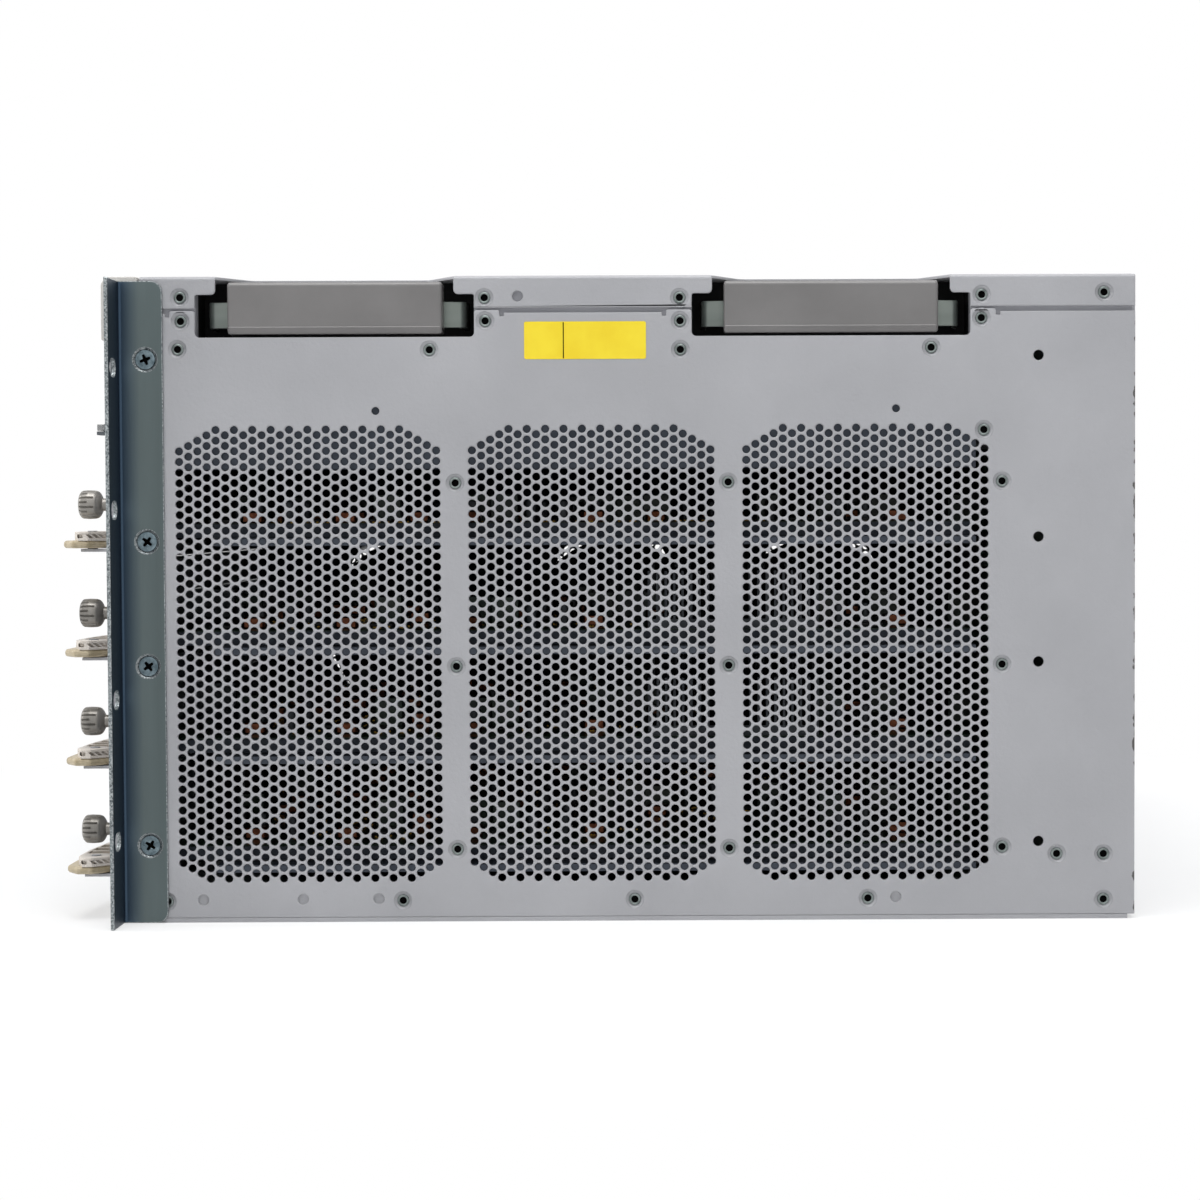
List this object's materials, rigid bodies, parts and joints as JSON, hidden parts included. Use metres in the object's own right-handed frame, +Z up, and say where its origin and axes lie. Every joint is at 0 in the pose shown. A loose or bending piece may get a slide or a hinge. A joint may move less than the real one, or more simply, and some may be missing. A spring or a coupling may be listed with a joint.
{
  "type": "modular chassis switch",
  "caption": "Rack-mounted modular network switch: vented sheet-metal chassis with pull-out side handles, rack ears, sliding cards, power supplies and a fan tray.",
  "frame": {"origin": "centre of the chassis underside, midway between the side panels and between front plane and rear panel", "axes": "+X to the right across the rack, +Y towards the rear, +Z up; the cards come out towards -Y"},
  "size_m": [0.4826, 0.4407, 0.2627],
  "materials": {
    "painted_steel": "fine-textured grey paint",
    "zinc_steel": "zinc plated sheet steel",
    "faceplate_paint": "satin grey paint",
    "grip_plastic": "moulded grey plastic",
    "lever_plastic": "moulded warm grey plastic",
    "latch_plastic": "moulded dark plastic",
    "fan_plastic": "moulded black plastic",
    "knob_metal": "turned and fluted",
    "board": "solder-masked laminate"
  },
  "bodies": {
    "chassis": {"base_tray": "painted_steel", "right_side_panel": "painted_steel", "left_side_panel": "painted_steel", "top_cover": "painted_steel", "rear_panel": "painted_steel", "front_bezel": "painted_steel", "power_cage": "zinc_steel", "fan_bay_wall": "zinc_steel", "card_guides": "zinc_steel", "backplane": "board", "right_rack_ear": "zinc_steel", "left_rack_ear": "zinc_steel", "ear_screws": "zinc_steel", "handle_pockets": "zinc_steel", "power_bay_blanks": "painted_steel"},
    "handle_right_front": {"handle_right_front_strap": "zinc_steel", "handle_right_front_grip": "grip_plastic"},
    "handle_right_rear": {"handle_right_rear_strap": "zinc_steel", "handle_right_rear_grip": "grip_plastic"},
    "handle_left_front": {"handle_left_front_strap": "zinc_steel", "handle_left_front_grip": "grip_plastic"},
    "handle_left_rear": {"handle_left_rear_strap": "zinc_steel", "handle_left_rear_grip": "grip_plastic"},
    "card_1": {"card_1_faceplate": "faceplate_paint", "card_1_carrier": "zinc_steel", "card_1_board": "board"},
    "card_1_lever_right": {"card_1_lever_right": "lever_plastic"},
    "card_1_lever_left": {"card_1_lever_left": "lever_plastic"},
    "card_1_screw_right": {"card_1_screw_right": "knob_metal"},
    "card_1_screw_left": {"card_1_screw_left": "knob_metal"},
    "card_2": {"card_2_faceplate": "faceplate_paint", "card_2_carrier": "zinc_steel", "card_2_board": "board"},
    "card_2_lever_right": {"card_2_lever_right": "lever_plastic"},
    "card_2_lever_left": {"card_2_lever_left": "lever_plastic"},
    "card_2_screw_right": {"card_2_screw_right": "knob_metal"},
    "card_2_screw_left": {"card_2_screw_left": "knob_metal"},
    "card_3": {"card_3_faceplate": "faceplate_paint", "card_3_carrier": "zinc_steel", "card_3_board": "board"},
    "card_3_lever_right": {"card_3_lever_right": "lever_plastic"},
    "card_3_lever_left": {"card_3_lever_left": "lever_plastic"},
    "card_3_screw_right": {"card_3_screw_right": "knob_metal"},
    "card_3_screw_left": {"card_3_screw_left": "knob_metal"},
    "card_4": {"card_4_faceplate": "faceplate_paint", "card_4_carrier": "zinc_steel", "card_4_board": "board"},
    "card_4_lever_right": {"card_4_lever_right": "lever_plastic"},
    "card_4_lever_left": {"card_4_lever_left": "lever_plastic"},
    "card_4_screw_right": {"card_4_screw_right": "knob_metal"},
    "card_4_screw_left": {"card_4_screw_left": "knob_metal"},
    "power_supply_1": {"power_supply_1_case": "faceplate_paint"},
    "power_supply_1_latch": {"power_supply_1_latch": "latch_plastic"},
    "power_supply_2": {"power_supply_2_case": "faceplate_paint"},
    "power_supply_2_latch": {"power_supply_2_latch": "latch_plastic"},
    "fan_tray": {"fan_tray_frame": "faceplate_paint"},
    "fan_rotor_1": {"fan_rotor_1": "fan_plastic"},
    "fan_rotor_2": {"fan_rotor_2": "fan_plastic"},
    "fan_rotor_3": {"fan_rotor_3": "fan_plastic"},
    "fan_tray_screw": {"fan_tray_screw": "knob_metal"}
  },
  "joints": [
    {"name": "handle_right_front_pull", "type": "slide", "parent": "chassis", "child": "handle_right_front", "axis": [1, 0, 0], "range_m": [0, 0.036]},
    {"name": "handle_right_rear_pull", "type": "slide", "parent": "chassis", "child": "handle_right_rear", "axis": [1, 0, 0], "range_m": [0, 0.036]},
    {"name": "handle_left_front_pull", "type": "slide", "parent": "chassis", "child": "handle_left_front", "axis": [-1, 0, 0], "range_m": [0, 0.036]},
    {"name": "handle_left_rear_pull", "type": "slide", "parent": "chassis", "child": "handle_left_rear", "axis": [-1, 0, 0], "range_m": [0, 0.036]},
    {"name": "card_1_slide", "type": "slide", "parent": "chassis", "child": "card_1", "axis": [0, -1, 0], "range_m": [0, 0.36]},
    {"name": "card_1_lever_right_pivot", "type": "hinge", "parent": "card_1", "child": "card_1_lever_right", "pos_m": [0.2083, -0.21875, 0.0229], "axis": [0, 0, 1], "range_deg": [0, 65]},
    {"name": "card_1_lever_left_pivot", "type": "hinge", "parent": "card_1", "child": "card_1_lever_left", "pos_m": [-0.1591, -0.21875, 0.0229], "axis": [0, 0, -1], "range_deg": [0, 65]},
    {"name": "card_1_screw_right_turn", "type": "hinge", "parent": "card_1", "child": "card_1_screw_right", "pos_m": [0.2085, -0.21635, 0.0373], "axis": [0, -1, 0], "continuous": true},
    {"name": "card_1_screw_left_turn", "type": "hinge", "parent": "card_1", "child": "card_1_screw_left", "pos_m": [-0.1593, -0.21635, 0.0373], "axis": [0, -1, 0], "continuous": true},
    {"name": "card_2_slide", "type": "slide", "parent": "chassis", "child": "card_2", "axis": [0, -1, 0], "range_m": [0, 0.36]},
    {"name": "card_2_lever_right_pivot", "type": "hinge", "parent": "card_2", "child": "card_2_lever_right", "pos_m": [0.2083, -0.21875, 0.06735], "axis": [0, 0, 1], "range_deg": [0, 65]},
    {"name": "card_2_lever_left_pivot", "type": "hinge", "parent": "card_2", "child": "card_2_lever_left", "pos_m": [-0.1591, -0.21875, 0.06735], "axis": [0, 0, -1], "range_deg": [0, 65]},
    {"name": "card_2_screw_right_turn", "type": "hinge", "parent": "card_2", "child": "card_2_screw_right", "pos_m": [0.2085, -0.21635, 0.08175], "axis": [0, -1, 0], "continuous": true},
    {"name": "card_2_screw_left_turn", "type": "hinge", "parent": "card_2", "child": "card_2_screw_left", "pos_m": [-0.1593, -0.21635, 0.08175], "axis": [0, -1, 0], "continuous": true},
    {"name": "card_3_slide", "type": "slide", "parent": "chassis", "child": "card_3", "axis": [0, -1, 0], "range_m": [0, 0.36]},
    {"name": "card_3_lever_right_pivot", "type": "hinge", "parent": "card_3", "child": "card_3_lever_right", "pos_m": [0.2083, -0.21875, 0.1118], "axis": [0, 0, 1], "range_deg": [0, 65]},
    {"name": "card_3_lever_left_pivot", "type": "hinge", "parent": "card_3", "child": "card_3_lever_left", "pos_m": [-0.1591, -0.21875, 0.1118], "axis": [0, 0, -1], "range_deg": [0, 65]},
    {"name": "card_3_screw_right_turn", "type": "hinge", "parent": "card_3", "child": "card_3_screw_right", "pos_m": [0.2085, -0.21635, 0.1262], "axis": [0, -1, 0], "continuous": true},
    {"name": "card_3_screw_left_turn", "type": "hinge", "parent": "card_3", "child": "card_3_screw_left", "pos_m": [-0.1593, -0.21635, 0.1262], "axis": [0, -1, 0], "continuous": true},
    {"name": "card_4_slide", "type": "slide", "parent": "chassis", "child": "card_4", "axis": [0, -1, 0], "range_m": [0, 0.36]},
    {"name": "card_4_lever_right_pivot", "type": "hinge", "parent": "card_4", "child": "card_4_lever_right", "pos_m": [0.2083, -0.21875, 0.15625], "axis": [0, 0, 1], "range_deg": [0, 65]},
    {"name": "card_4_lever_left_pivot", "type": "hinge", "parent": "card_4", "child": "card_4_lever_left", "pos_m": [-0.1591, -0.21875, 0.15625], "axis": [0, 0, -1], "range_deg": [0, 65]},
    {"name": "card_4_screw_right_turn", "type": "hinge", "parent": "card_4", "child": "card_4_screw_right", "pos_m": [0.2085, -0.21635, 0.17065], "axis": [0, -1, 0], "continuous": true},
    {"name": "card_4_screw_left_turn", "type": "hinge", "parent": "card_4", "child": "card_4_screw_left", "pos_m": [-0.1593, -0.21635, 0.17065], "axis": [0, -1, 0], "continuous": true},
    {"name": "power_supply_1_slide", "type": "slide", "parent": "chassis", "child": "power_supply_1", "axis": [0, -1, 0], "range_m": [0, 0.345]},
    {"name": "power_supply_1_latch_pivot", "type": "hinge", "parent": "power_supply_1", "child": "power_supply_1_latch", "pos_m": [0.09955, -0.21275, 0.202], "axis": [0, 0, -1], "range_deg": [0, 25]},
    {"name": "power_supply_2_slide", "type": "slide", "parent": "chassis", "child": "power_supply_2", "axis": [0, -1, 0], "range_m": [0, 0.345]},
    {"name": "power_supply_2_latch_pivot", "type": "hinge", "parent": "power_supply_2", "child": "power_supply_2_latch", "pos_m": [0.2082, -0.21275, 0.202], "axis": [0, 0, -1], "range_deg": [0, 25]},
    {"name": "fan_tray_slide", "type": "slide", "parent": "chassis", "child": "fan_tray", "axis": [0, -1, 0], "range_m": [0, 0.365]},
    {"name": "fan_rotor_1_spin", "type": "hinge", "parent": "fan_tray", "child": "fan_rotor_1", "pos_m": [-0.1953, -0.12885, 0.1036], "axis": [1, 0, 0], "continuous": true},
    {"name": "fan_rotor_2_spin", "type": "hinge", "parent": "fan_tray", "child": "fan_rotor_2", "pos_m": [-0.1953, -0.0156, 0.1036], "axis": [1, 0, 0], "continuous": true},
    {"name": "fan_rotor_3_spin", "type": "hinge", "parent": "fan_tray", "child": "fan_rotor_3", "pos_m": [-0.1953, 0.09765, 0.1036], "axis": [1, 0, 0], "continuous": true},
    {"name": "fan_tray_screw_turn", "type": "hinge", "parent": "fan_tray", "child": "fan_tray_screw", "pos_m": [-0.1945, -0.21635, 0.0247], "axis": [0, -1, 0], "continuous": true}
  ]
}
